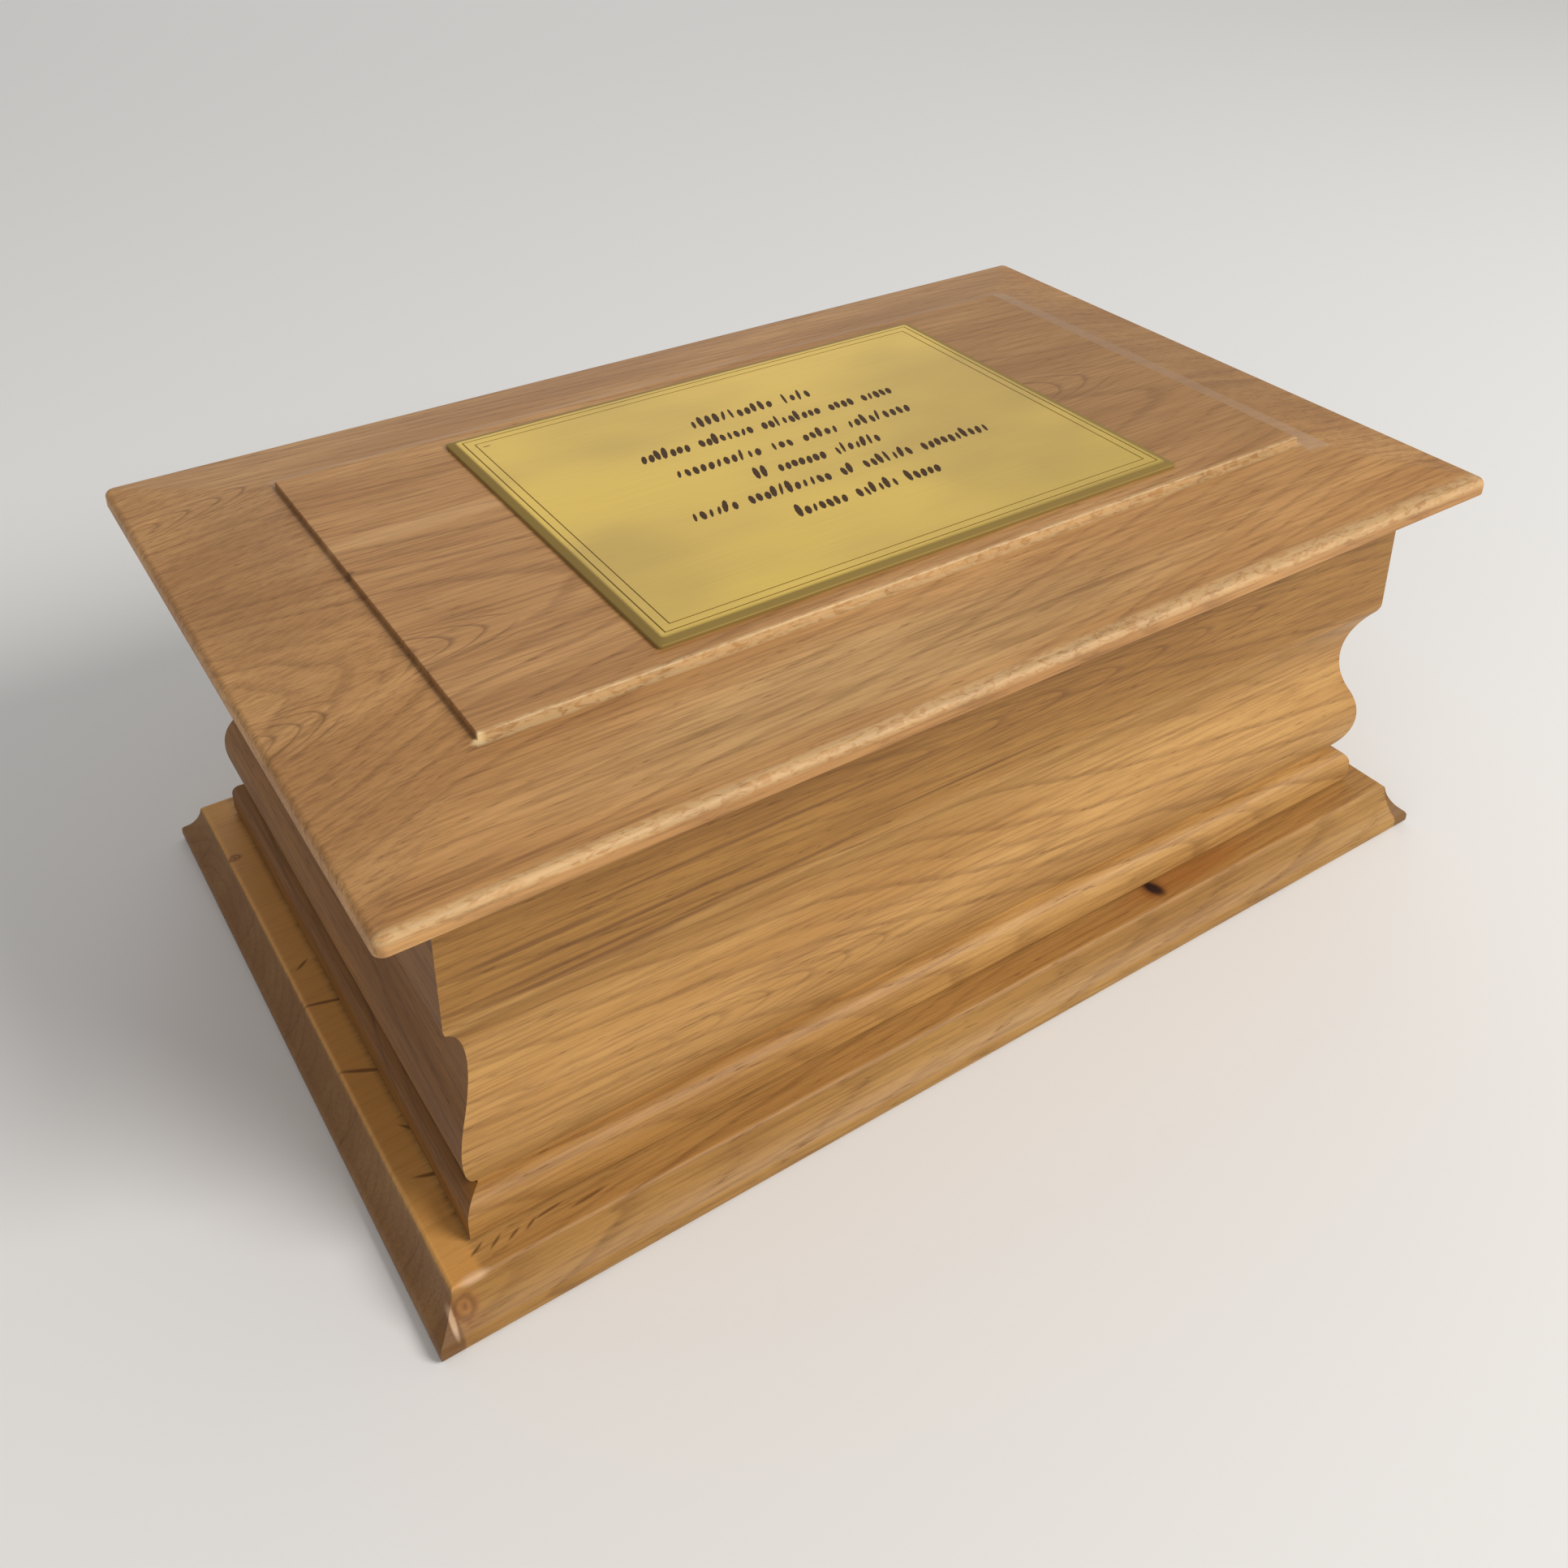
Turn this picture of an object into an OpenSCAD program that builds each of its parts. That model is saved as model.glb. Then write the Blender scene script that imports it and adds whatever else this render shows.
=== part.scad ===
// Moulded oak cremation urn: a hollow box of four mitred sides on a moulded
// base board, with a raised-field lid that lifts off and an engraved brass plate.
// Millimetres. +X runs along the front, +Y from front to back, +Z up.
// The origin is the middle of the underside.

/* [Box] */
// Length of the box over the flat upper band of its sides
box_length = 276; // [180:1:420]
// Width of the box over the flat upper band of its sides
box_width = 166; // [130:1:300]
// Height of the four side boards
side_height = 97.5; // [80:0.5:180]
// Thickness of the side boards at their flat upper band
side_thickness = 15; // [12:0.5:22]

/* [Side moulding] */
// How far the hollow is cut into the board at its deepest
hollow_depth = 6.1; // [4:0.1:8]
// Height of the deepest line of the hollow above the foot
hollow_height = 43; // [40:0.5:50]
// Radius of the hollow
hollow_radius = 24; // [18:0.5:26]
// Radius of the round below the hollow
round_radius = 18; // [14:0.5:20]
// How far the round stands back from the upper band
round_setback = 0.9; // [0:0.1:2]
// Radius that eases the lower edge of the upper band
band_easing = 5; // [2:0.5:6]
// Depth of the quirk above the plinth bead
quirk_depth = 5; // [3:0.1:6]
// Height of the quirk, from the top of the plinth bead up to the round
quirk_gap = 0.8; // [0.4:0.1:1.5]
// How far the plinth bead stands back from the upper band
bead_setback = 0.5; // [0:0.1:2]
// Radius that eases the foot of the plinth bead
foot_easing = 1.5; // [0.5:0.5:3]

/* [Base] */
// Thickness of the base board
base_thickness = 12.5; // [10:0.5:20]
// How far the base board stands out from the upper band
base_projection = 12.5; // [10:0.5:30]
// Width of the hollow moulding round the base board
base_moulding = 5.2; // [4:0.1:9]
// Height at which the nose of the base moulding starts to round over
nose_height = 2.9; // [2:0.1:3.5]
// Radius of the hollow in the base moulding
base_hollow = 10; // [8:0.5:12]
// Radius that eases the top edge of the base board
ledge_easing = 1.5; // [0.5:0.1:2]
// Radius that eases both edges of the nose
nose_easing = 1.4; // [0.8:0.1:1.8]

/* [Lid] */
// How far the lid stands out from the upper band
lid_overhang = 14.5; // [6:0.5:30]
// Thickness of the lid at its outer edge
lid_edge = 4.5; // [3:0.1:10]
// Radius that eases the top of the lid edge
lid_easing = 1.8; // [0.5:0.1:2.5]
// Radius of the lid corners seen from above
lid_corner = 2.5; // [0.5:0.1:8]
// Width of the sloping border round the raised field
border_width = 35; // [20:0.5:45]
// Rise of the sloping border from the edge to the field
border_rise = 5.6; // [1:0.1:10]
// Height of the small step up to the field
field_step = 1.5; // [0.5:0.1:4]
// Depth of the rebated tongue that drops into the box
tongue_depth = 6; // [3:0.5:12]
// Clearance round the tongue
tongue_clearance = 1; // [0.3:0.1:3]

/* [Name plate] */
// Bare field left at each end of the plate
plate_end_margin = 41.5; // [10:0.5:44]
// Bare field left along the front and the back of the plate
plate_side_margin = 5.5; // [5:0.5:25]
// Thickness of the brass plate
plate_thickness = 1.5; // [0.8:0.1:3]
// Width of the bevel round the plate
plate_bevel = 2.2; // [0.3:0.1:3]
// Drop of the bevel round the plate
plate_bevel_drop = 0.6; // [0.2:0.1:0.7]
// Radius of the plate corners
plate_corner = 1; // [0.3:0.1:5]
// Distance of the plate to the right of the middle of the lid
plate_shift_x = 2; // [-5:0.5:5]
// Distance of the plate behind the middle of the lid
plate_shift_y = 0; // [-3:0.5:3]

/* [Hidden] */
$fn = 96;
// Cutting shapes reach this far past what they cut
past = 1;
// Neighbouring arcs of a moulding cross by this much, so that they meet in one clean line
arc_crossing = 0.005;

base_length = box_length + 2 * base_projection;
base_width = box_width + 2 * base_projection;
lid_length = box_length + 2 * lid_overhang;
lid_width = box_width + 2 * lid_overhang;
lid_bottom = base_thickness + side_height;
border_top = lid_edge + border_rise;
field_top = border_top + field_step;
tongue_length = box_length - 2 * (side_thickness + tongue_clearance);
tongue_width = box_width - 2 * (side_thickness + tongue_clearance);
plate_length = lid_length - 2 * (border_width + plate_end_margin);
plate_width = lid_width - 2 * (border_width + plate_side_margin);

// Centres of the side moulding's arcs, measured inwards from the upper band and up
// from the foot. Each arc runs into the next, so the moulding flows without a break.
hollow_centre = [hollow_depth - hollow_radius, hollow_height];
round_across = round_setback + round_radius - hollow_centre.x;
round_down = sqrt(pow(hollow_radius + round_radius - arc_crossing, 2) - pow(round_across, 2));
round_centre = hollow_centre + [round_across, -round_down];
band_across = band_easing - hollow_centre.x;
band_up = sqrt(pow(hollow_radius + band_easing - arc_crossing, 2) - pow(band_across, 2));
band_centre = hollow_centre + [band_across, band_up];
// Where the hollow meets the round below it and the eased edge above it
round_joint = hollow_centre + (round_centre - hollow_centre) * hollow_radius / (hollow_radius + round_radius);
band_joint = hollow_centre + (band_centre - hollow_centre) * hollow_radius / (hollow_radius + band_easing);
quirk_height = round_centre.y - sqrt(pow(round_radius, 2) - pow(round_centre.x - quirk_depth, 2));
bead_height = quirk_height - quirk_gap;
bead_radius = quirk_depth - bead_setback;
// The cuts above and below the quirk overlap by this much
quirk_overlap = quirk_gap / 4;

// Centres of the base moulding's arcs, measured inwards from the nose and up from the
// underside: the nose runs into the hollow, and the hollow into the eased ledge.
nose_across = nose_easing - base_moulding + base_hollow;
nose_up = sqrt(pow(base_hollow + nose_easing - arc_crossing, 2) - pow(nose_across, 2));
base_hollow_centre = [base_moulding - base_hollow, nose_height + nose_up];
nose_centre = [nose_easing, nose_height];
ledge_height = base_thickness - ledge_easing;
ledge_down = base_hollow_centre.y - ledge_height;
ledge_across = sqrt(pow(base_hollow + ledge_easing - arc_crossing, 2) - pow(ledge_down, 2));
ledge_centre = [base_hollow_centre.x + ledge_across, ledge_height];
// Where the hollow meets the nose below it and the eased ledge above it
nose_joint = base_hollow_centre
    + (nose_centre - base_hollow_centre) * base_hollow / (base_hollow + nose_easing);
ledge_joint = base_hollow_centre
    + (ledge_centre - base_hollow_centre) * base_hollow / (base_hollow + ledge_easing);

// What is left outside a circle, within a square that starts at its lower outer corner
module outside_round(corner, size, centre, radius) {
    difference() {
        translate(corner) square(size);
        translate(centre) circle(r = radius);
    }
}

// A rectangle with round corners, centred
module round_rectangle(length, width, radius) {
    square([length - 2 * radius, width], center = true);
    square([length, width - 2 * radius], center = true);
    for (x = [-1, 1], y = [-1, 1])
        translate([x * (length / 2 - radius), y * (width / 2 - radius)]) circle(r = radius);
}

// Section of a side board: the outer face is at 0, the inner face to the right
module side_section() {
    difference() {
        square([side_thickness, side_height]);
        // Eased lower edge of the flat band
        outside_round([-past, band_joint.y], [past + band_joint.x, band_centre.y - band_joint.y],
            band_centre, band_easing);
        // Hollow
        translate(hollow_centre) circle(r = hollow_radius);
        // Round, down into the quirk
        outside_round([-past, quirk_height - 2 * quirk_overlap],
            [past + quirk_depth, round_joint.y - quirk_height + 2 * quirk_overlap],
            round_centre, round_radius);
        // Plinth bead and the quirk above it
        outside_round([-past, bead_height - bead_radius],
            [past + quirk_depth, bead_radius + quirk_gap - quirk_overlap],
            [quirk_depth, bead_height - bead_radius], bead_radius);
        translate([-past, -past]) square([past + bead_setback, bead_height - bead_radius + past]);
        outside_round([-past, -past], [past + bead_setback + foot_easing, past + foot_easing],
            [bead_setback + foot_easing, foot_easing], foot_easing);
    }
}

// One mitred side board with its outer face to the front, standing at z = 0
module side_board(length) {
    intersection() {
        rotate([90, 0, 90]) translate([0, 0, -length / 2]) linear_extrude(length) side_section();
        linear_extrude(side_height) polygon([
            [-length / 2, 0],
            [length / 2, 0],
            [length / 2 - side_thickness, side_thickness],
            [side_thickness - length / 2, side_thickness]
        ]);
    }
}

// Puts a side board in its place: turned about Z, with its face this far from the middle
module placed_side(length, distance, turn) {
    color("#b9854e") rotate([0, 0, turn]) translate([0, -distance, base_thickness]) side_board(length);
}

module front_side() placed_side(box_length, box_width / 2, 0);

module back_side() placed_side(box_length, box_width / 2, 180);

module left_side() placed_side(box_width, box_length / 2, -90);

module right_side() placed_side(box_width, box_length / 2, 90);

// One edge of the base board's section: what the moulding takes away, for an edge at 0
module base_edge_cut() {
    // Eased top edge
    outside_round([-past, ledge_joint.y], [past + ledge_centre.x, base_thickness - ledge_joint.y + past],
        ledge_centre, ledge_easing);
    // Hollow
    translate(base_hollow_centre) circle(r = base_hollow);
    // Nose, rounded over into the hollow and eased underneath
    outside_round([-past, nose_centre.y], [past + nose_joint.x, nose_joint.y - nose_centre.y],
        nose_centre, nose_easing);
    outside_round([-past, -past], [past + nose_easing, past + nose_easing],
        [nose_easing, nose_easing], nose_easing);
}

// Section of the base board across a given width
module base_section(width) {
    difference() {
        translate([-width / 2, 0]) square([width, base_thickness]);
        for (side = [0, 1]) mirror([side, 0]) translate([-width / 2, 0]) base_edge_cut();
    }
}

// The solid that keeps one section across X and another across Y, so corners mitre
module crossed(length, width) {
    intersection() {
        rotate([90, 0, 0]) translate([0, 0, -width / 2]) linear_extrude(width) children(0);
        rotate([90, 0, 90]) translate([0, 0, -length / 2]) linear_extrude(length) children(1);
    }
}

module base_board() {
    color("#b07f49") crossed(base_length, base_width) {
        base_section(base_length);
        base_section(base_width);
    }
}

// Section of the lid above its underside, across a given width
module lid_section(width) {
    field = width / 2 - border_width;
    slope_start = width / 2 - lid_easing;
    difference() {
        polygon([
            [-width / 2, 0],
            [width / 2, 0],
            [width / 2, lid_edge],
            [slope_start, lid_edge],
            [field, border_top],
            [field, field_top],
            [-field, field_top],
            [-field, border_top],
            [-slope_start, lid_edge],
            [-width / 2, lid_edge]
        ]);
        for (side = [0, 1]) mirror([side, 0])
            outside_round([slope_start, lid_edge - lid_easing], [lid_easing + past, lid_easing + past],
                [slope_start, lid_edge - lid_easing], lid_easing);
    }
}

module lid() {
    color("#b98a55") translate([0, 0, lid_bottom]) {
        intersection() {
            crossed(lid_length, lid_width) {
                lid_section(lid_length);
                lid_section(lid_width);
            }
            linear_extrude(field_top) round_rectangle(lid_length, lid_width, lid_corner);
        }
        translate([-tongue_length / 2, -tongue_width / 2, -tongue_depth])
            cube([tongue_length, tongue_width, tongue_depth + lid_edge / 2]);
    }
}

// Section of the brass plate across a given width
module plate_section(width) {
    polygon([
        [-width / 2, 0],
        [width / 2, 0],
        [width / 2, plate_thickness - plate_bevel_drop],
        [width / 2 - plate_bevel, plate_thickness],
        [plate_bevel - width / 2, plate_thickness],
        [-width / 2, plate_thickness - plate_bevel_drop]
    ]);
}

module name_plate() {
    color("#c9a84c") translate([plate_shift_x, plate_shift_y, lid_bottom + field_top]) intersection() {
        crossed(plate_length, plate_width) {
            plate_section(plate_length);
            plate_section(plate_width);
        }
        linear_extrude(plate_thickness) round_rectangle(plate_length, plate_width, plate_corner);
    }
}

base_board();
front_side();
back_side();
left_side();
right_side();
lid();
name_plate();
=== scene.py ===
"""Moulded oak cremation urn: a mitred box on a moulded base board, under a raised-field lid
with an engraved brass plate. Metres, in the frame of the CAD part."""

import math
import random

import bmesh
import bpy
from mathutils import Matrix, Vector


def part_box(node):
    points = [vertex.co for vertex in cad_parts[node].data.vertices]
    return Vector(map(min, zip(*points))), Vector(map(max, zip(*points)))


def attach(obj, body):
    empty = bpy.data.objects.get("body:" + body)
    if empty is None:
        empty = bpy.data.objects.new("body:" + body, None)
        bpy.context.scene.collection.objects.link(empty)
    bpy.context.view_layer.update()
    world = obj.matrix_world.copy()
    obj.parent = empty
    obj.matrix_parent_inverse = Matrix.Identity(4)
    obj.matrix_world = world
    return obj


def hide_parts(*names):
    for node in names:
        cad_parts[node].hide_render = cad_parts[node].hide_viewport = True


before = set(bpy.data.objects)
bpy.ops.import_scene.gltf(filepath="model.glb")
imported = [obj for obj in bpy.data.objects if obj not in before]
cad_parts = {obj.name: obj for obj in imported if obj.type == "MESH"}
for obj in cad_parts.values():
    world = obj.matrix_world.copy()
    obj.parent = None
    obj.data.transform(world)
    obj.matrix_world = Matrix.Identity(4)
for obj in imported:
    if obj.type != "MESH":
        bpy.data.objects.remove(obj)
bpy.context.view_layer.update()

MM = 0.001

# Side moulding, measured inwards from the flat upper band and up from the foot
SIDE_THICKNESS = 15 * MM
HOLLOW_DEPTH = 6.1 * MM
HOLLOW_HEIGHT = 43 * MM
HOLLOW_RADIUS = 24 * MM
ROUND_RADIUS = 18 * MM
ROUND_SETBACK = 0.9 * MM
BAND_EASING = 5 * MM
QUIRK_DEPTH = 5 * MM
QUIRK_GAP = 0.8 * MM
BEAD_SETBACK = 0.5 * MM
FOOT_EASING = 1.5 * MM

# Base board
BASE_MOULDING = 5.2 * MM
NOSE_HEIGHT = 2.9 * MM
BASE_HOLLOW = 10 * MM
LEDGE_EASING = 1.5 * MM
NOSE_EASING = 1.4 * MM

# Lid
LID_EDGE = 4.5 * MM
LID_EASING = 1.8 * MM
LID_CORNER = 2.5 * MM
LID_UNDER_EASING = 0.4 * MM
BORDER_WIDTH = 35 * MM
BORDER_RISE = 5.6 * MM
FIELD_STEP = 1.5 * MM
FIELD_EASING = 0.35 * MM
TONGUE_INSET = 30.5 * MM

# Brass plate
PLATE_THICKNESS = 1.5 * MM
PLATE_BEVEL = 2.2 * MM
PLATE_BEVEL_DROP = 0.6 * MM
PLATE_CORNER = 1.2 * MM
PLATE_ARRIS = 0.25 * MM
PLATE_SOFTENING = 0.8 * MM
ENGRAVING_DEPTH = 0.15 * MM
ENAMEL_DROP = 0.03 * MM


# How near two corners lie to count as one, and a quarter turn
SAME_PLACE = 1e-6
QUARTER = math.pi / 2


# ---- Working a board --------------------------------------------------------------------


def verts_in(geom):
    """The corners among an operator's results."""
    return [g for g in geom if isinstance(g, bmesh.types.BMVert)]


def edges_in(geom):
    """The edges among an operator's results."""
    return [g for g in geom if isinstance(g, bmesh.types.BMEdge)]


def faces_in(geom):
    """The faces among an operator's results."""
    return [g for g in geom if isinstance(g, bmesh.types.BMFace)]


def highest_face(bm):
    """The topmost face of the work."""
    return max(bm.faces, key=lambda f: f.calc_center_median().z)


def lowest_face(bm):
    """The face that the work stands on."""
    return min(bm.faces, key=lambda f: f.calc_center_median().z)


def new_object(name, data):
    """A new object in the scene, at the origin."""
    made = bpy.data.objects.new(name, data)
    bpy.context.scene.collection.objects.link(made)
    return made


def blank(bm, low, high, height):
    """The flat rectangle that a board is raised from."""
    corners = ((low.x, low.y), (high.x, low.y), (high.x, high.y), (low.x, high.y))
    face = bm.faces.new([bm.verts.new((x, y, height)) for x, y in corners])
    face.normal_update()
    return face


def raise_face(bm, face, rise):
    """Draws a face up, or down, and returns it in its new place. A loose face stays below."""
    loose = all(len(e.link_faces) == 1 for e in face.edges)
    drawn = bmesh.ops.extrude_face_region(bm, geom=[face])["geom"]
    if not loose:
        bmesh.ops.delete(bm, geom=[face], context="FACES_ONLY")
    bmesh.ops.translate(bm, verts=verts_in(drawn), vec=(0, 0, rise))
    return faces_in(drawn)[0]


def step_in(bm, face, margin, rise=0.0):
    """Steps a face in from its edges, and up."""
    bmesh.ops.inset_region(
        bm,
        faces=[face],
        thickness=margin,
        use_even_offset=True,
        use_boundary=True,
    )
    bmesh.ops.translate(bm, verts=list(face.verts), vec=(0, 0, rise))
    return face


def ease(bm, edges, width, segments):
    """Rounds edges over, or fills an inner corner with a hollow."""
    bmesh.ops.bevel(
        bm,
        geom=edges,
        offset=width,
        offset_type="OFFSET",
        affect="EDGES",
        segments=segments,
        profile=0.5,
        material=-1,
        clamp_overlap=True,
    )


def outline(bm, height, low, high, margin=0.0):
    """The edges of a board's outline at one height, this far in from its sides."""

    def depth(v):
        return min(v.co.x - low.x, high.x - v.co.x, v.co.y - low.y, high.y - v.co.y)

    def on_outline(v):
        level = abs(v.co.z - height) < SAME_PLACE
        return level and margin - 0.02 * MM < depth(v) < margin + 0.75 * MM

    return [e for e in bm.edges if all(on_outline(v) for v in e.verts)]


def upright_corners(bm, low_z, high_z):
    """The upright edges between two heights."""
    return [
        e
        for e in bm.edges
        if {round(v.co.z, 6) for v in e.verts} == {round(low_z, 6), round(high_z, 6)}
        and (e.verts[0].co.xy - e.verts[1].co.xy).length < SAME_PLACE
    ]


def make_piece(bm, name, material, replaced=(), sharp=30):
    """Turns finished work into an object in the part's frame."""
    bmesh.ops.recalc_face_normals(bm, faces=bm.faces)
    for face in bm.faces:
        face.smooth = True
    for edge in bm.edges:
        edge.smooth = len(edge.link_faces) == 2 and edge.calc_face_angle(0) < math.radians(sharp)
    mesh = bpy.data.meshes.new(name)
    bm.to_mesh(mesh)
    bm.free()
    mesh.materials.append(material)
    piece = new_object(name, mesh)
    even = piece.modifiers.new("even_shading", "WEIGHTED_NORMAL")
    even.keep_sharp = True
    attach(piece, "root")
    if replaced:
        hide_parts(*replaced)
    return piece


# ---- The moulded sides ------------------------------------------------------------------


def line_to(bm, vert, y, z):
    """Draws a straight part of the section and returns its end."""
    new = bmesh.ops.extrude_vert_indiv(bm, verts=[vert])["verts"][0]
    new.co = (0, y, z)
    return new


def arc_to(bm, vert, centre, angle, steps):
    """Sweeps the section round a centre and returns its end."""
    swept = bmesh.ops.spin(
        bm,
        geom=[vert],
        cent=(0, centre.x, centre.y),
        axis=(1, 0, 0),
        dvec=(0, 0, 0),
        angle=angle,
        steps=steps,
        use_merge=False,
        use_duplicate=False,
    )
    return verts_in(swept["geom_last"])[0]


def side_section(bm, height):
    """Section of a side board in the plane across X, with its outer face at y = 0."""
    hollow = Vector((HOLLOW_DEPTH - HOLLOW_RADIUS, HOLLOW_HEIGHT))
    round_across = ROUND_SETBACK + ROUND_RADIUS - hollow.x
    round_down = math.sqrt((HOLLOW_RADIUS + ROUND_RADIUS) ** 2 - round_across**2)
    rounded = hollow + Vector((round_across, -round_down))
    band_across = BAND_EASING - hollow.x
    band_up = math.sqrt((HOLLOW_RADIUS + BAND_EASING) ** 2 - band_across**2)
    band = hollow + Vector((band_across, band_up))
    quirk_height = rounded.y - math.sqrt(ROUND_RADIUS**2 - (rounded.x - QUIRK_DEPTH) ** 2)
    bead_radius = QUIRK_DEPTH - BEAD_SETBACK
    bead = Vector((QUIRK_DEPTH, quirk_height - QUIRK_GAP - bead_radius))
    foot = Vector((BEAD_SETBACK + FOOT_EASING, FOOT_EASING))
    hollow_turn = math.atan2(round_down, round_across)
    band_turn = math.atan2(band_up, band_across)
    quirk_turn = math.atan2(rounded.y - quirk_height, rounded.x - QUIRK_DEPTH)

    start = bm.verts.new((0, foot.x, 0))
    vert = arc_to(bm, start, foot, -QUARTER, 4)
    vert = line_to(bm, vert, BEAD_SETBACK, bead.y)
    vert = arc_to(bm, vert, bead, -QUARTER, 12)
    vert = line_to(bm, vert, QUIRK_DEPTH, quirk_height)
    vert = arc_to(bm, vert, rounded, -(quirk_turn + hollow_turn), 24)
    vert = arc_to(bm, vert, hollow, hollow_turn + band_turn, 28)
    vert = arc_to(bm, vert, band, -band_turn, 8)
    for y, z in ((0, height), (SIDE_THICKNESS, height), (SIDE_THICKNESS, 0)):
        vert = line_to(bm, vert, y, z)
    bm.edges.new((vert, start))
    return bmesh.ops.contextual_create(bm, geom=list(bm.edges))["faces"]


def side_board(name, turn, material):
    """One mitred side board, turned about Z from the front to its own side."""
    low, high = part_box(name)
    length = max(high.x - low.x, high.y - low.y)
    bm = bmesh.new()
    section = side_section(bm, high.z - low.z)
    bmesh.ops.translate(bm, verts=bm.verts, vec=(-length / 2, 0, 0))
    drawn = bmesh.ops.extrude_face_region(bm, geom=section)["geom"]
    bmesh.ops.translate(bm, verts=verts_in(drawn), vec=(length, 0, 0))
    for end in (-1, 1):
        cut = bmesh.ops.bisect_plane(
            bm,
            geom=bm.verts[:] + bm.edges[:] + bm.faces[:],
            plane_co=(end * length / 2, 0, 0),
            plane_no=(end, 1, 0),
            clear_outer=True,
        )["geom_cut"]
        bmesh.ops.contextual_create(bm, geom=edges_in(cut))
    bmesh.ops.remove_doubles(bm, verts=bm.verts, dist=SAME_PLACE)
    outward = Matrix.Rotation(turn, 4, "Z")
    middle = (low + high) / 2
    face = Vector((middle.x, middle.y, low.z)) + outward @ Vector((0, -SIDE_THICKNESS / 2, 0))
    bmesh.ops.transform(bm, matrix=Matrix.Translation(face) @ outward, verts=bm.verts)
    return make_piece(bm, name + "_board", material, [name])


# ---- Base board, lid and plate ----------------------------------------------------------


def base_board(material):
    """The base board, its edge worked to a nose that runs up through a hollow into the ledge."""
    low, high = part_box("base_board")
    across = NOSE_EASING - BASE_MOULDING + BASE_HOLLOW
    up = math.sqrt((BASE_HOLLOW + NOSE_EASING) ** 2 - across**2)
    down = NOSE_HEIGHT + up - (high.z - low.z - LEDGE_EASING)
    slope = math.atan2(across, up)
    wall = math.acos(down / (BASE_HOLLOW + LEDGE_EASING))
    nose_reach = NOSE_EASING * math.tan((QUARTER - slope) / 2)
    hollow_reach = BASE_HOLLOW * math.tan((wall - slope) / 2)
    ledge_reach = LEDGE_EASING * math.tan(wall / 2)
    slope_run = nose_reach + hollow_reach
    wall_run = hollow_reach + ledge_reach
    inner = slope_run * math.cos(slope)

    ledge_inner = inner + wall_run * math.cos(wall)

    # Each easing stops just short of the next, so no face between them shrinks to nothing
    bm = bmesh.new()
    nose = NOSE_HEIGHT + nose_reach
    bend = nose + slope_run * math.sin(slope)
    top = raise_face(bm, blank(bm, low, high, low.z), nose)
    step_in(bm, top, inner, bend - nose)
    step_in(bm, top, ledge_inner - inner, high.z - low.z - bend)
    ease(bm, outline(bm, bend, low, high, inner), hollow_reach * 0.99, 12)
    ease(bm, outline(bm, high.z, low, high, ledge_inner), ledge_reach * 0.98, 5)
    ease(bm, outline(bm, nose, low, high), nose_reach * 0.98, 4)
    ease(bm, outline(bm, low.z, low, high), NOSE_EASING, 4)
    return make_piece(bm, "moulded_base", material, ["base_board"])


def gather_corners(bm, face, half_length, half_width, height):
    """Draws each round corner of a face together into one sharp corner."""
    sides = [(x, y) for x in (-1, 1) for y in (-1, 1)]
    corners = [[v for v in face.verts if v.co.x * x > 0 and v.co.y * y > 0] for x, y in sides]
    for (x, y), corner in zip(sides, corners):
        bmesh.ops.pointmerge(bm, verts=corner, merge_co=(x * half_length, y * half_width, height))


def lid_top(bm, top, high, under):
    """The sloping border, the step and the flat field."""
    step_in(bm, top, LID_EASING)
    slope = raise_face(bm, top, BORDER_RISE)
    foot = under + LID_EDGE + BORDER_RISE
    gather_corners(bm, slope, high.x - BORDER_WIDTH, high.y - BORDER_WIDTH, foot)
    field = next(f for f in bm.faces if all(abs(v.co.z - foot) < SAME_PLACE for v in f.verts))
    raise_face(bm, field, FIELD_STEP)


def lid(material):
    """The lid: a thin edge, a sloping border, a raised field and the tongue underneath."""
    low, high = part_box("lid")
    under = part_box("front_side")[1].z
    bm = bmesh.new()
    raise_face(bm, blank(bm, low, high, under), LID_EDGE)
    ease(bm, upright_corners(bm, under, under + LID_EDGE), LID_CORNER, 6)
    top = highest_face(bm)
    tongue = raise_face(bm, lowest_face(bm), 0)
    gather_corners(bm, tongue, high.x - TONGUE_INSET, high.y - TONGUE_INSET, under)
    squared = (f for f in bm.faces if len(f.verts) == 4)
    tongue = next(f for f in squared if f.calc_center_median().xy.length < MM)
    raise_face(bm, tongue, low.z - under)
    lid_top(bm, top, high, under)
    ease(bm, outline(bm, under + LID_EDGE, low, high), LID_EASING - 0.02 * MM, 8)
    ease(bm, outline(bm, under, low, high), LID_UNDER_EASING, 3)
    ease(bm, outline(bm, high.z, low, high, BORDER_WIDTH), FIELD_EASING, 3)
    return make_piece(bm, "raised_field_lid", material, ["lid"], sharp=24)


def shrink_up(bm, face, margin, rise):
    """Draws a face up and in towards its middle, and returns it."""
    drawn = bmesh.ops.extrude_face_region(bm, geom=[face])["geom"]
    bmesh.ops.delete(bm, geom=[face], context="FACES_ONLY")
    verts = verts_in(drawn)
    middle = sum((v.co for v in verts), Vector()) / len(verts)
    reach_x = max(v.co.x for v in verts) - middle.x
    reach_y = max(v.co.y for v in verts) - middle.y
    bmesh.ops.scale(
        bm,
        verts=verts,
        vec=(1 - margin / reach_x, 1 - margin / reach_y, 1),
        space=Matrix.Translation(-middle),
    )
    bmesh.ops.translate(bm, verts=verts, vec=(0, 0, rise))
    return faces_in(drawn)[0]


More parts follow.
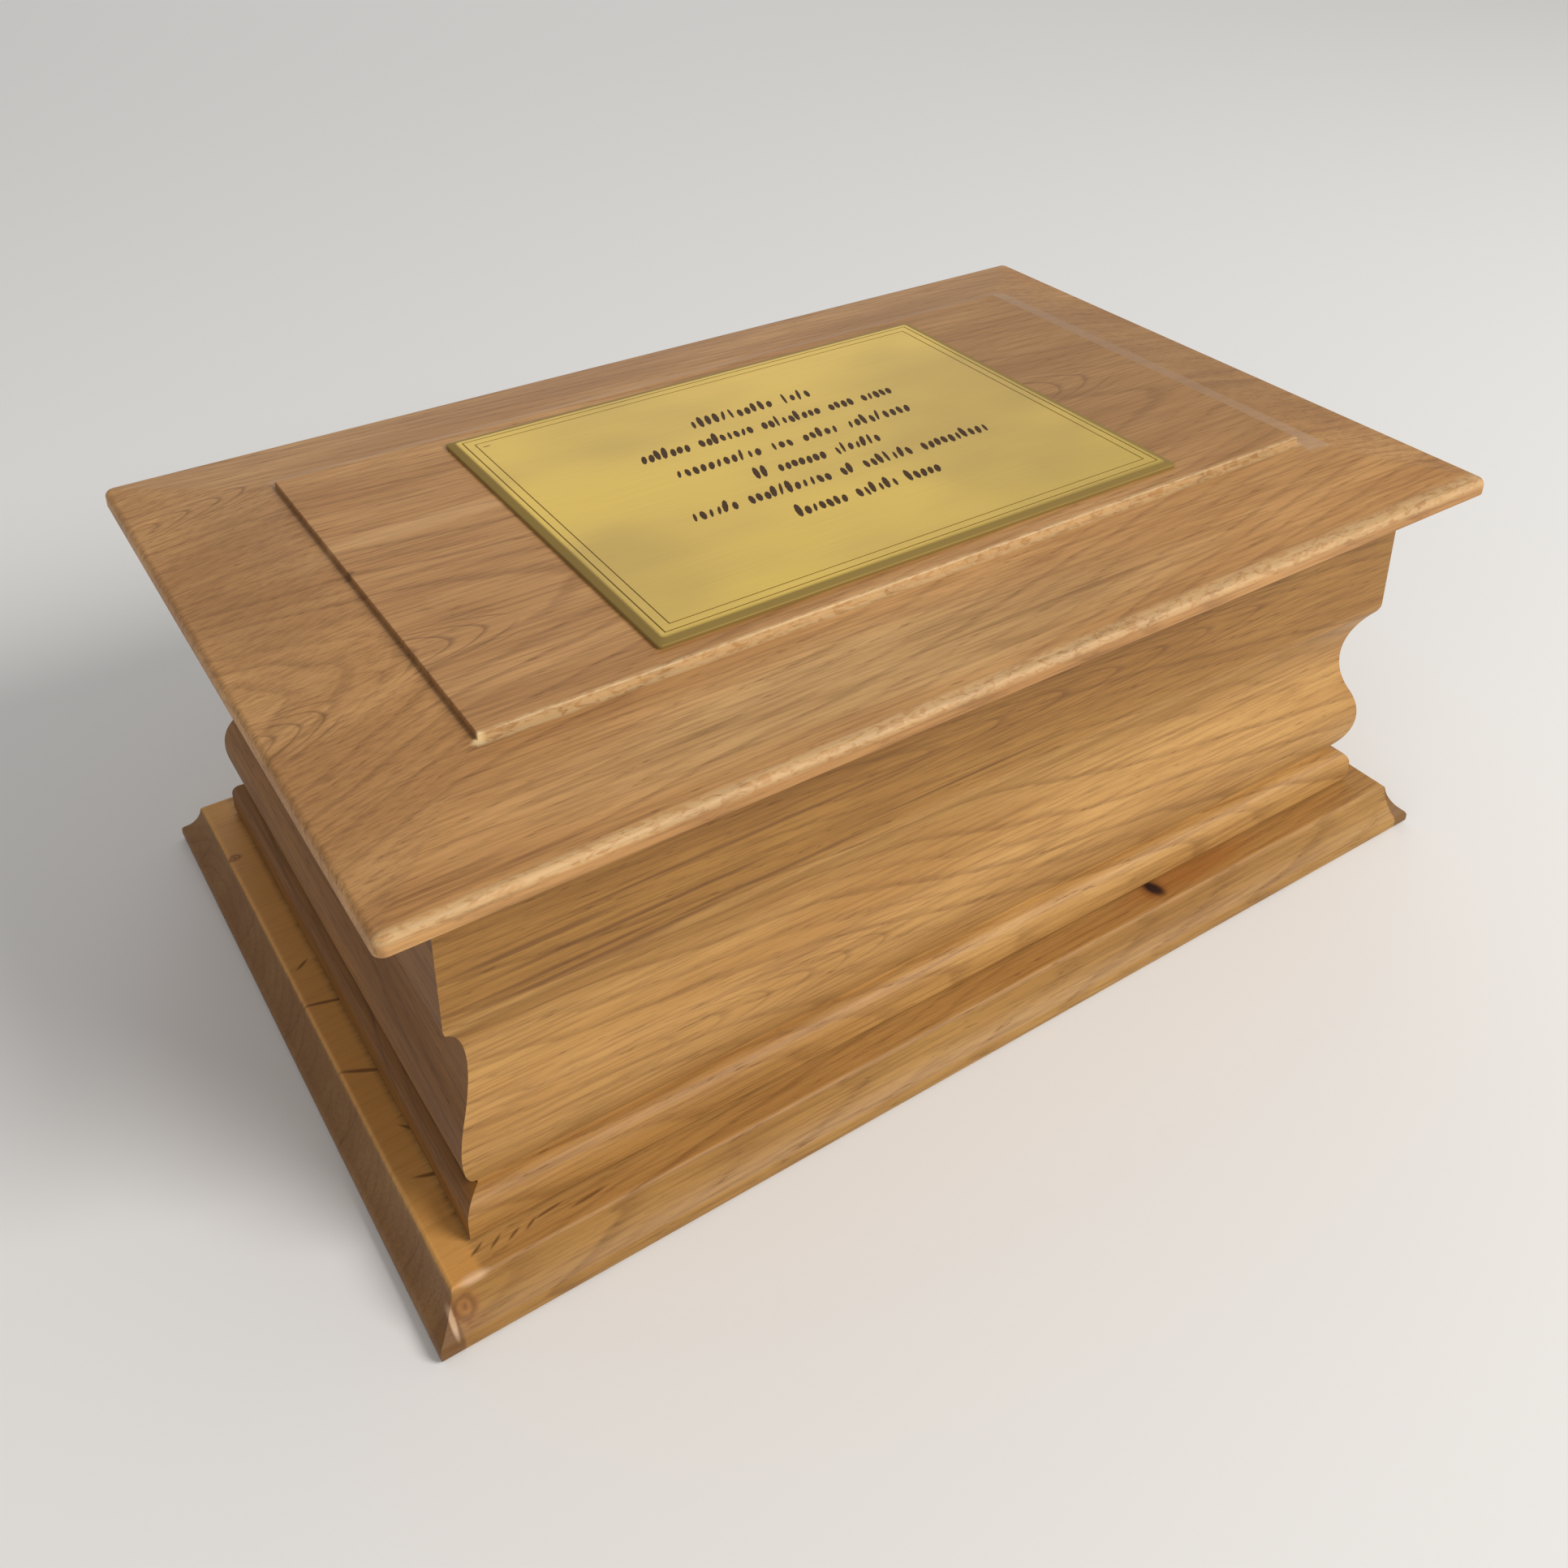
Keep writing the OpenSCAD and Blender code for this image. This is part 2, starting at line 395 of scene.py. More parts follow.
def plate_blank(bm, low, high):
    """The brass plate before it is engraved."""
    edge = PLATE_THICKNESS - PLATE_BEVEL_DROP
    raise_face(bm, blank(bm, low, high, low.z), edge)
    ease(bm, upright_corners(bm, low.z, low.z + edge), PLATE_CORNER, 6)
    shrink_up(bm, highest_face(bm), PLATE_BEVEL, PLATE_BEVEL_DROP)
    ease(bm, outline(bm, low.z + edge, low, high), PLATE_ARRIS, 3)
    ease(bm, outline(bm, high.z, low, high, PLATE_BEVEL), PLATE_SOFTENING, 4)


# ---- Engraving --------------------------------------------------------------------------

# Each row in millimetres: how far it lies behind the plate's middle, its own middle, its
# length, and its words as counts of strokes
INSCRIPTION = (
    (29.5, 4.0, 39.0, (11, 4)),
    (18.8, 3.5, 80.0, (7, 8, 9, 4, 5)),
    (7.0, 4.0, 74.0, (11, 3, 5, 9)),
    (-3.8, 3.5, 39.5, (2, 7, 7)),
    (-14.2, 5.0, 92.0, (6, 11, 2, 7, 10)),
    (-25.8, 3.8, 44.0, (7, 6, 5)),
)

# Gap between words, in strokes, and the sizes of the strokes
WORD_GAP = 1.2
ROW_SHIFT = 2.0 * MM
TALL_STROKE = 6.6 * MM
SHORT_STROKE = 4.5 * MM
BROAD_STROKE = 1.65 * MM
THIN_STROKE = 1.0 * MM

# Border lines: how far in from the plate's edge, and how wide, in millimetres
BORDER_LINES = ((3.3, 0.36), (5.8, 0.3))


def engraved_stroke(bm, x, y, length, width, slant, bottom, top):
    """One slanting dab of the graver, pointed at both ends."""
    place = (
        Matrix.Translation((x, y, bottom))
        @ Matrix.Rotation(slant, 4, "Z")
        @ Matrix.Diagonal((width / 2, length / 2, 1, 1))
    )
    dab = bmesh.ops.create_circle(bm, cap_ends=True, segments=8, radius=1, matrix=place)
    face = dab["verts"][0].link_faces[0]
    raise_face(bm, face, top - bottom)


def engraved_word(bm, rng, start, y, pitch, strokes, bottom, top):
    """A run of separate dabs that stands for a word without spelling one."""
    for i in range(strokes):
        tall = rng.random() < 0.22
        broad = rng.random() < 0.72
        length = (TALL_STROKE if tall else SHORT_STROKE) * rng.uniform(0.88, 1.05)
        width = (BROAD_STROKE if broad else THIN_STROKE) * rng.uniform(0.9, 1.1)
        slant = math.radians(rng.uniform(-26, -14))
        lift = 0.9 * MM if tall else rng.uniform(-0.25, 0.25) * MM
        engraved_stroke(bm, start + i * pitch, y + lift, length, width, slant, bottom, top)


def engraved_rows(bm, centre, bottom, top):
    """The inscription's rows of shallow strokes."""
    rng = random.Random(5)
    for behind, middle, length, words in INSCRIPTION:
        pitch = length * MM / (sum(words) + WORD_GAP * (len(words) - 1))
        x = centre.x - ROW_SHIFT + (middle - length / 2) * MM + pitch / 2
        for word in words:
            engraved_word(bm, rng, x, centre.y + behind * MM, pitch, word, bottom, top)
            x += (word + WORD_GAP) * pitch


def engraved_frame(bm, low, high, margin, width, bottom, top):
    """A thin line engraved right round the plate."""
    edge = Vector((margin, margin, 0))
    face = blank(bm, low + edge, high - edge, bottom)
    step_in(bm, face, width)
    line = [f for e in face.edges for f in e.link_faces if f is not face]
    bmesh.ops.delete(bm, geom=[face], context="FACES_ONLY")
    drawn = bmesh.ops.extrude_face_region(bm, geom=line)["geom"]
    bmesh.ops.translate(bm, verts=verts_in(drawn), vec=(0, 0, top - bottom))


def inscription(low, high, bottom, top):
    """The inscription and a short corner mark, as solids between two heights."""
    bm = bmesh.new()
    engraved_rows(bm, (low + high) / 2, bottom, top)
    mark_x, mark_y = low.x + 8.2 * MM, high.y - 8.4 * MM
    engraved_stroke(bm, mark_x, mark_y, 2.4 * MM, 0.4 * MM, QUARTER, bottom, top)
    bmesh.ops.recalc_face_normals(bm, faces=bm.faces)
    return bm


def cut_engraving(piece, low, high):
    """Cuts the engraving into the plate."""
    bottom = high.z - ENGRAVING_DEPTH
    bm = inscription(low, high, bottom, high.z + MM)
    for margin, width in BORDER_LINES:
        engraved_frame(bm, low, high, margin * MM, width * MM, bottom, high.z + MM)
    bmesh.ops.recalc_face_normals(bm, faces=bm.faces)
    cutter_mesh = bpy.data.meshes.new("graver")
    bm.to_mesh(cutter_mesh)
    bm.free()
    cutter = new_object("graver", cutter_mesh)
    cut = piece.modifiers.new("engraved", "BOOLEAN")
    cut.operation = "DIFFERENCE"
    cut.solver = "EXACT"
    cut.use_self = True
    cut.object = cutter
    bpy.context.view_layer.update()
    finished = piece.evaluated_get(bpy.context.evaluated_depsgraph_get())
    worked = bpy.data.meshes.new_from_object(finished)
    piece.modifiers.remove(cut)
    piece.data = worked
    bpy.data.objects.remove(cutter)
    bpy.data.meshes.remove(cutter_mesh)


def brass_plate(brass, enamel):
    """The bevelled plate with its engraving, and the dark enamel that fills the inscription."""
    low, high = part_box("name_plate")
    bm = bmesh.new()
    plate_blank(bm, low, high)
    plate = make_piece(bm, "brass_plate", brass, ["name_plate"])
    cut_engraving(plate, low, high)
    fill = inscription(low, high, high.z - ENGRAVING_DEPTH, high.z - ENAMEL_DROP)
    make_piece(fill, "engraving_enamel", enamel)


# ---- Mixing finishes --------------------------------------------------------------------


def colour(red, green, blue):
    """A colour by its 0 to 255 display values."""

    def linear(level):
        level /= 255
        return level / 12.92 if level <= 0.04045 else ((level + 0.055) / 1.055) ** 2.4

    return (linear(red), linear(green), linear(blue), 1)


def add(tree, kind, inputs, **settings):
    """A node with its settings made and its inputs filled or linked."""
    made = tree.nodes.new(kind)
    for key, value in settings.items():
        setattr(made, key, value)
    for key, value in inputs.items():
        if isinstance(value, bpy.types.NodeSocket):
            tree.links.new(value, made.inputs[key])
        else:
            made.inputs[key].default_value = value
    return made


def maths(tree, operation, *values):
    """A sum on plain values."""
    return add(tree, "ShaderNodeMath", dict(enumerate(values)), operation=operation).outputs[0]


def product(tree, first, second):
    """One value times another."""
    return maths(tree, "MULTIPLY", first, second)


def vectors(tree, operation, *values):
    """A sum on places or colours, number by number."""
    made = add(tree, "ShaderNodeVectorMath", dict(enumerate(values)), operation=operation)
    return made.outputs["Value" if operation == "LENGTH" else "Vector"]


def stretch(tree, value, low, high, start=0.0, end=1.0, kind="SMOOTHSTEP"):
    """Maps a value from one range to another, held at both ends."""
    inputs = {"Value": value, "From Min": low, "From Max": high, "To Min": start, "To Max": end}
    return add(tree, "ShaderNodeMapRange", inputs, interpolation_type=kind).outputs[0]


def mottle(tree, place, detail=2.0, roughness=0.5, distortion=0.0):
    """Noise at a scale of one."""
    inputs = {
        "Vector": place,
        "Scale": 1.0,
        "Detail": detail,
        "Roughness": roughness,
        "Distortion": distortion,
    }
    return add(tree, "ShaderNodeTexNoise", inputs).outputs[0]


def blend(tree, amount, first, second, mode="MIX"):
    """Lays one colour over another."""
    inputs = {0: amount, 6: first, 7: second}
    made = add(tree, "ShaderNodeMix", inputs, data_type="RGBA", blend_type=mode)
    return made.outputs[2]


def chance(tree, count):
    """A value from 0 to 1 for each whole number."""
    return add(tree, "ShaderNodeTexWhiteNoise", {"W": count}, noise_dimensions="1D").outputs[0]


def relief(tree, shader, height, strength, distance):
    """Lets a pattern raise and lower the surface."""
    inputs = {"Height": height, "Strength": strength, "Distance": distance}
    tree.links.new(add(tree, "ShaderNodeBump", inputs).outputs[0], shader.inputs["Normal"])


def finish_material(name):
    """A material with its shader ready to fill."""
    material = bpy.data.materials.new(name)
    material.use_nodes = True
    return material, material.node_tree, material.node_tree.nodes["Principled BSDF"]


# ---- Oak --------------------------------------------------------------------------------

# Growth rings, in millimetres, and how dark they stand in the wood
RING_SPACING = 3.4
RING_TAPER = 0.12
RING_SWAY = 14.0
RING_STRENGTH = 0.4

HONEY = (colour(194, 150, 88), colour(172, 127, 69), colour(112, 72, 32))
ROSY = (colour(196, 148, 92), colour(172, 124, 72), colour(112, 72, 36))
# Darker tones for the left side board, painted as shade on the side that faces away from the lamps
SHADED_SIDE_TONES = (colour(142, 94, 36), colour(122, 78, 27), colour(78, 46, 14))
CREAM = colour(226, 198, 150)
BROWN = colour(96, 58, 26)


def along_grain(tree, turn, pith):
    """Place in millimetres from the pith, with the first number along the grain."""
    place = add(tree, "ShaderNodeTexCoord", {}).outputs["Object"]
    inputs = {"Vector": place, "Scale": (1000, 1000, 1000), "Rotation": (0, 0, turn)}
    turned = add(tree, "ShaderNodeMapping", inputs).outputs[0]
    return turned, vectors(tree, "SUBTRACT", turned, pith)


def drawn_out(tree, place, along, across):
    """The same place, drawn out along the grain."""
    return vectors(tree, "MULTIPLY", place, (1 / along, 1 / across, 1 / across))


def growth_rings(tree, place):
    """Rings round the pith: the dark early wood of each, and where the ring stands."""
    inputs = {"Vector": drawn_out(tree, place, 170, 48), "Scale": 1.0, "Detail": 2.0}
    bent = add(tree, "ShaderNodeTexNoise", inputs)
    shift = vectors(tree, "SUBTRACT", bent.outputs[1], (0.5, 0.5, 0.5))
    shift = vectors(tree, "MULTIPLY", shift, (0, RING_SWAY, RING_SWAY))
    bent_place = vectors(tree, "ADD", place, shift)
    across = vectors(tree, "LENGTH", vectors(tree, "MULTIPLY", bent_place, (0, 1, 1)))
    run = add(tree, "ShaderNodeSeparateXYZ", {0: place}).outputs[0]
    radius = maths(tree, "MULTIPLY_ADD", run, RING_TAPER, across)
    loose = mottle(tree, drawn_out(tree, place, 60, 7))
    count = maths(tree, "MULTIPLY_ADD", loose, 0.9, maths(tree, "DIVIDE", radius, RING_SPACING))
    phase = maths(tree, "FRACT", count)
    ring = maths(tree, "FLOOR", count)
    strength = chance(tree, ring)
    rise = stretch(tree, phase, 0.0, 0.12)
    fall = stretch(tree, phase, 0.12, 0.5, 1.0, 0.0)
    early = product(tree, rise, fall)
    return early, product(tree, early, stretch(tree, strength, 0.0, 1.0, 0.15, 1.0, "LINEAR"))


def spot(tree, board, centre, size, angle=0.0):
    """How far a place lies from a mark's centre, with one at the mark's rim."""
    turn = (0, 0, math.radians(angle))
    inputs = {"Vector": board, "Location": centre, "Rotation": turn, "Scale": size}
    turned = add(tree, "ShaderNodeMapping", inputs, vector_type="TEXTURE").outputs[0]
    return vectors(tree, "LENGTH", turned)


def smudge(tree, tone, board, centre, size, angle, paint, strength):
    """A soft-edged mark in the surface."""
    reach = spot(tree, board, centre, size, angle)
    return blend(tree, stretch(tree, reach, 0.35, 1.0, strength, 0.0), tone, paint)


def knot(tree, tone, board, centre, size):
    """A small knot: a dark heart, a paler ring and a dark rim."""
    ragged = mottle(tree, drawn_out(tree, board, 1.6, 1.6))
    reach = maths(tree, "MULTIPLY_ADD", ragged, 0.45, spot(tree, board, centre, size))
    tone = blend(tree, stretch(tree, reach, 0.9, 1.9, 0.45, 0.0), tone, colour(148, 92, 44))
    tone = blend(tree, stretch(tree, reach, 0.25, 0.65, 0.6, 0.0), tone, colour(84, 50, 24))
    outside = stretch(tree, reach, 1.0, 1.45, 1.0, 0.0)
    rim = product(tree, stretch(tree, reach, 0.65, 0.98), outside)
    return blend(tree, product(tree, rim, 0.5), tone, colour(92, 56, 28))


def band(tree, place, start, end, soft):
    """One between two places across the board, fading out over a soft edge."""
    rise = stretch(tree, place, start - soft, start)
    return product(tree, rise, stretch(tree, place, end, end + soft, 1.0, 0.0))


def cathedral(tree, tone, board, along, across, tip, reach, width, spacing, strength):
    """Nested arches of the growth rings, drawn back from a tip that points along the grain."""
    loose = mottle(tree, drawn_out(tree, board, 34, 13))
    back = maths(tree, "SUBTRACT", along, tip[0])
    off = maths(tree, "DIVIDE", maths(tree, "SUBTRACT", across, tip[1]), width)
    arch = maths(tree, "MULTIPLY_ADD", product(tree, off, off), reach, back)
    count = maths(tree, "DIVIDE", maths(tree, "MULTIPLY_ADD", loose, spacing * 1.4, arch), spacing)
    phase = maths(tree, "FRACT", count)
    fall = stretch(tree, phase, 0.08, 0.34, 1.0, 0.0)
    line = product(tree, stretch(tree, phase, 0.0, 0.08), fall)
    depth = maths(tree, "DIVIDE", back, -reach)
    behind = stretch(tree, depth, 0.6, 1.3, 1.0, 0.0)
    inside = product(tree, stretch(tree, depth, -0.1, 0.1), behind)
    beside = stretch(tree, maths(tree, "ABSOLUTE", off), 0.6, 1.2, 1.0, 0.0)
    amount = product(tree, product(tree, inside, beside), strength)
    return blend(tree, product(tree, line, amount), tone, BROWN)


def oak(name, turn, pith, tones, streaks=0.5, extra=None):
    """Satin-lacquered oak in light, middle and dark tones, its grain along X or turned."""
    light, middle, dark = tones
    material, tree, shader = finish_material(name)
    board, place = along_grain(tree, turn, pith)
    early, ring = growth_rings(tree, place)
    broad = mottle(tree, drawn_out(tree, place, 120, 15), 2.0)
    cloud = mottle(tree, drawn_out(tree, place, 26, 5), 2.0)
    fibre = mottle(tree, drawn_out(tree, place, 24, 0.7), 4.0, 0.64)
    fleck = mottle(tree, drawn_out(tree, place, 5.0, 0.45), 2.0, 0.6)
    streak = mottle(tree, drawn_out(tree, place, 75, 1.7), 3.0, 0.6)
    pores = stretch(tree, fleck, 0.56, 0.72)
    pores = product(tree, pores, stretch(tree, early, 0.0, 1.0, 0.35, 1.0, "LINEAR"))
    streak = product(tree, stretch(tree, streak, 0.55, 0.74), stretch(tree, broad, 0.35, 0.65))

    tone = blend(tree, stretch(tree, broad, 0.32, 0.68), light, middle)
    tone = blend(tree, stretch(tree, cloud, 0.35, 0.7, 0.0, 0.5), tone, middle)
    tone = blend(tree, stretch(tree, fibre, 0.4, 0.7, 0.0, 0.45), tone, dark)
    tone = blend(tree, product(tree, streak, streaks), tone, dark)
    tone = blend(tree, product(tree, ring, RING_STRENGTH), tone, dark)
    tone = blend(tree, product(tree, pores, 0.6), tone, dark)
    if extra:
        tone = extra(tree, tone, board)
    tree.links.new(tone, shader.inputs["Base Color"])

    rough = stretch(tree, maths(tree, "ADD", pores, fibre), 0.3, 1.5, 0.5, 0.68, "LINEAR")
    tree.links.new(rough, shader.inputs["Roughness"])
    shader.inputs["Specular IOR Level"].default_value = 0.3
    shader.inputs["Coat Weight"].default_value = 0.08
    shader.inputs["Coat Roughness"].default_value = 0.4
    height = maths(tree, "MULTIPLY_ADD", pores, -1.0, product(tree, fibre, 0.35))
    relief(tree, shader, height, 0.4, 0.1 * MM)
    return material


# ---- Brass and enamel -------------------------------------------------------------------

BRASS = colour(232, 200, 104)
PALE_BRASS = colour(216, 186, 108)
BRUSHED_BRASS = colour(150, 122, 60)
# Darker brass, painted as shade on the bevel and in the engraved lines
SHADE_DARKENED_BRASS = colour(156, 134, 84)


def engraved_brass():
    """Lacquered brass, faintly brushed along its length and a little dulled in places, with
    painted shade on its bevel and in its engraved lines.
    """
    material, tree, shader = finish_material("engraved_brass")
    board, place = along_grain(tree, 0, (0, 0, 0))
    cloud = mottle(tree, drawn_out(tree, place, 70, 45), 2.0)
    brush = mottle(tree, drawn_out(tree, place, 30, 0.12), 2.0)
    tone = blend(tree, stretch(tree, cloud, 0.35, 0.65), BRASS, PALE_BRASS)
    tone = blend(tree, stretch(tree, brush, 0.3, 0.7, 0.0, 0.12), tone, BRUSHED_BRASS)

    # The bevel and the engraved lines lie below the face, and are duller, with painted shade in a
    # darker brass colour
    height = add(tree, "ShaderNodeSeparateXYZ", {0: board}).outputs[2]
    edge = stretch(tree, height, 122.95, 123.08, 1.0, 0.0)
    tone = blend(tree, product(tree, edge, 0.85), tone, SHADE_DARKENED_BRASS)
    tree.links.new(tone, shader.inputs["Base Color"])
    rough = maths(tree, "MULTIPLY_ADD", edge, 0.4, stretch(tree, cloud, 0.3, 0.7, 0.36, 0.46))
    tree.links.new(rough, shader.inputs["Roughness"])
    shader.inputs["Metallic"].default_value = 1.0
    relief(tree, shader, brush, 0.15, 0.03 * MM)
    return material


def engraving_enamel():
    """Dark brown enamel, a little uneven."""
    material, tree, shader = finish_material("engraving_enamel")
    place = along_grain(tree, 0, (0, 0, 0))[1]
    fleck = mottle(tree, drawn_out(tree, place, 0.8, 0.8), 2.0)
    tone = blend(tree, stretch(tree, fleck, 0.3, 0.7), colour(56, 34, 14), colour(78, 52, 24))
    shader.inputs["Specular IOR Level"].default_value = 0.2
    tree.links.new(tone, shader.inputs["Base Color"])
    tree.links.new(stretch(tree, fleck, 0.3, 0.7, 0.5, 0.7), shader.inputs["Roughness"])
    relief(tree, shader, fleck, 0.3, 0.03 * MM)
    return material


# ---- Each board's own marks, and painted light and shade --------------------------------

SHADED = colour(128, 92, 54)
# Greyish colour for the painted reflection beside the lid's field
PAINTED_REFLECTION_GREY = colour(182, 150, 122)
PAINTED_GLINT = colour(214, 180, 146)
DARKER_STAVE = colour(128, 86, 40)
END_GRAIN = colour(100, 64, 34)
LEDGE_PAINTED_LIGHT = colour(208, 150, 78)
AMBER = colour(152, 90, 34)
RUST = colour(116, 66, 26)
INKY = colour(38, 16, 12)

# Each mark in millimetres: its centre, its half sizes, and for the ledge its turn in degrees
FRONT_STREAKS = (
    ((-104, -83, 74.2), (46, 20, 0.9)),
    ((-112, -83, 76.4), (34, 20, 0.7)),
    ((-62, -83, 75.4), (40, 20, 0.7)),
    ((-98, -83, 80.5), (44, 20, 0.8)),
    ((-118, -83, 85.0), (26, 20, 1.1)),
    ((-70, -83, 88.5), (60, 20, 0.6)),
    ((-8, -83, 78.0), (44, 20, 0.5)),
)
LEDGE_FLECKS = (
    ((-140, -1.4, 12.5), (9, 0.7, 4), -16),
    ((-139.5, -27, 12.5), (9, 0.8, 4), -28),
    ((-141, 14, 12.5), (3, 0.6, 4), 35),
    ((-137, -48, 12.5), (4, 0.6, 4), -50),
    ((-138, -62, 12.5), (5, 0.7, 4), -20),
    ((-137, -84.4, 12.5), (2.6, 0.5, 2), 30),
    ((-133, -84.9, 12.5), (2.6, 0.5, 2), 34),
    ((-129, -85.3, 12.5), (2.4, 0.5, 2), 28),
    ((-125, -85.0, 12.5), (2.2, 0.45, 2), 30),
    ((-120.5, -84.2, 12.5), (5.0, 0.5, 2), 6),
    ((-112, -86, 12.5), (6.0, 0.6, 2), 4),
)

# Arches on the lid: the tip, the reach and width of the first arch, and the spacing
LID_ARCHES = (
    ((-95, -28.6), 30, 9, 8.0),
    ((-136, -33), 18, 9, 5.5),
    ((-120, 68), 30, 8, 7.5),
    ((104, -2), 40, 12, 10.0),
)


def across_board(tree, board):
    """How far along, across and up a place lies, in millimetres."""
    return add(tree, "ShaderNodeSeparateXYZ", {0: board}).outputs


def lid_marks(tree, tone, board):
    """Pale flecks and a painted highlight on the front arris, a painted highlight on the front
    step, painted reflection and shade beside the field, grain arches, and painted light and shade
    across the lid.
    """
    x, y, z = across_board(tree, board)
    flakes = mottle(tree, drawn_out(tree, board, 3.2, 1.3), 2.0, 0.6, 0.8)
    cream_flecks = stretch(tree, flakes, 0.34, 0.56, 0.25, 1.0)

    # Pale flecks and a painted highlight along the front arris, widening to the right, then a
    # painted highlight on the lit front step
    width = stretch(tree, x, -150.0, 150.0, 2.2, 4.6, "LINEAR")
    depth = maths(tree, "DIVIDE", maths(tree, "ADD", y, 97.5), width)
    arris = product(tree, stretch(tree, depth, 0.5, 1.2, 0.36, 0.0), cream_flecks)
    tone = blend(tree, product(tree, arris, stretch(tree, z, 112.0, 113.5)), tone, CREAM)
    step = product(tree, band(tree, y, -63.6, -62.2, 1.0), band(tree, x, -118.0, 118.0, 0.5))
    tone = blend(tree, product(tree, step, product(tree, cream_flecks, 0.45)), tone, CREAM)

    # Painted reflection in pale bands beside the field on the right and back, painted shade in a
    # dark line along its left step, a painted highlight at the step's front left corner, and a
    # dark spot further along the left step
    right = product(tree, band(tree, x, 118.0, 126.0, 0.8), band(tree, y, -66.0, 66.0, 2.0))
    back = product(tree, band(tree, y, 63.0, 68.0, 1.5), band(tree, x, -117.0, 123.0, 2.0))
    tone = blend(tree, product(tree, right, 0.6), tone, PAINTED_REFLECTION_GREY)
    tone = blend(tree, product(tree, back, 0.3), tone, PAINTED_REFLECTION_GREY)
    # Painted shade on the left step, which faces away from the light
    left = product(tree, band(tree, x, -118.1, -117.5, 0.35), band(tree, y, -61.5, 62.5, 0.5))
    tone = blend(tree, product(tree, left, 0.4), tone, BROWN)
    # Painted highlight at the front left corner of the step
    tone = smudge(tree, tone, board, (-117.6, -62.8, 121), (2.2, 1.6, 3), 0, CREAM, 0.7)
    tone = smudge(tree, tone, board, (-117.5, 9, 121), (2.2, 1.4, 3), 20, BROWN, 0.6)

    # Arches, a pale streak on the field, painted light and sheen on the front slope, and painted
    # shade over the left border and the right of the lid
    for arches in LID_ARCHES:
        tone = cathedral(tree, tone, board, x, y, *arches, 0.5)
    tone = smudge(tree, tone, board, (-92, 22, 121), (42, 4.5, 30), 0, colour(206, 164, 114), 0.35)
    # Painted light and sheen: the front slope is lightened and made less saturated
    pale = stretch(tree, spot(tree, board, (-25, -82, 118), (110, 16, 20)), 0.3, 1.0, 1.0, 0.0)
    tone = blend(tree, pale, tone, (1.06, 1.2, 1.38, 1), "MULTIPLY")
    # Painted shade over the left border and, broadly, the right of the lid
    tone = smudge(tree, tone, board, (-136, 24, 118), (20, 60, 20), 0, SHADED, 0.25)
    return smudge(tree, tone, board, (112, 6, 120), (105, 100, 40), 0, SHADED, 0.45)


def front_marks(tree, tone, board):
    """A darker upper band of painted shade under the lid's overhang, long dark streaks, and arches
    in the grain.
    """
    x, _, z = across_board(tree, board)
    # Painted shade: the upper band under the lid's overhang is darkened
    upper = stretch(tree, z, 70.0, 76.0)
    tone = blend(tree, upper, tone, colour(214, 203, 174), "MULTIPLY")
    for centre, size in FRONT_STREAKS:
        tone = smudge(tree, tone, board, centre, size, 0, BROWN, 0.6)
    tone = cathedral(tree, tone, board, x, z, (96, 90), 130, 9, 17.0, 0.45)
    return cathedral(tree, tone, board, x, z, (-20, 40), 70, 7, 12.0, 0.3)


def base_marks(tree, tone, board):
    """Glued staves, end grain, a browner front edge, painted light on the left ledge, painted
    highlights at the front corner, knots and flecks.
    """
    x, y, z = across_board(tree, board)
    stave = maths(tree, "DIVIDE", maths(tree, "SUBTRACT", y, 40.0), 38.0)
    shade = chance(tree, maths(tree, "FLOOR", stave))
    tone = blend(tree, stretch(tree, shade, 0.0, 1.0, 0.0, 0.3, "LINEAR"), tone, DARKER_STAVE)
    seam = maths(tree, "PINGPONG", stave, 0.5)
    tone = blend(tree, stretch(tree, seam, 0.0, 0.014, 0.55, 0.0), tone, BROWN)

    # End grain on both ends, a browner front edge, and painted light on the left ledge, which lies
    # in shade
    end = stretch(tree, maths(tree, "ABSOLUTE", x), 144.6, 145.6, 0.0, 0.7)
    end = product(tree, end, stretch(tree, z, 11.6, 12.3, 1.0, 0.0))
    tone = blend(tree, end, tone, END_GRAIN)
    nose = stretch(tree, maths(tree, "ADD", y, 90.5), 0.0, 1.0, 1.0, 0.0)
    tone = blend(tree, nose, tone, (0.84, 0.83, 0.72, 1), "MULTIPLY")
    left = stretch(tree, maths(tree, "ADD", x, 138.0), -1.0, 1.0, 0.7, 0.0)
    left = product(tree, left, stretch(tree, z, 11.6, 12.3))
    tone = blend(tree, left, tone, LEDGE_PAINTED_LIGHT)

    # Flecks, an amber patch, painted highlights down the front left corner and on the ledge's
    # corner, and the knots
    for centre, size, angle in LEDGE_FLECKS:
        tone = smudge(tree, tone, board, centre, size, angle, BROWN, 0.75)
    tone = smudge(tree, tone, board, (70, -84.5, 12.5), (30, 5, 5), 0, AMBER, 0.5)
    # Painted highlights: a pale glint down the front left mitre and on the ledge's front left
    # corner
    tone = smudge(tree, tone, board, (-146.3, -92.6, 6.5), (0.9, 4.5, 4.8), 0, PAINTED_GLINT, 0.7)
    tone = smudge(tree, tone, board, (-140, -89.6, 12.0), (4.5, 1.4, 1.6), 0, PAINTED_GLINT, 0.5)
    tone = smudge(tree, tone, board, (57.4, -84.4, 12.5), (5.0, 5.0, 4.0), 18, RUST, 0.65)
    tone = smudge(tree, tone, board, (57.6, -84.3, 12.5), (2.7, 4.4, 3.4), 18, INKY, 1.0)
    tone = knot(tree, tone, board, (-143.5, 63, 12.5), (1.7, 1.2, 2))
    return knot(tree, tone, board, (-143.2, -91.2, 7.6), (2.5, 4.0, 2.7))


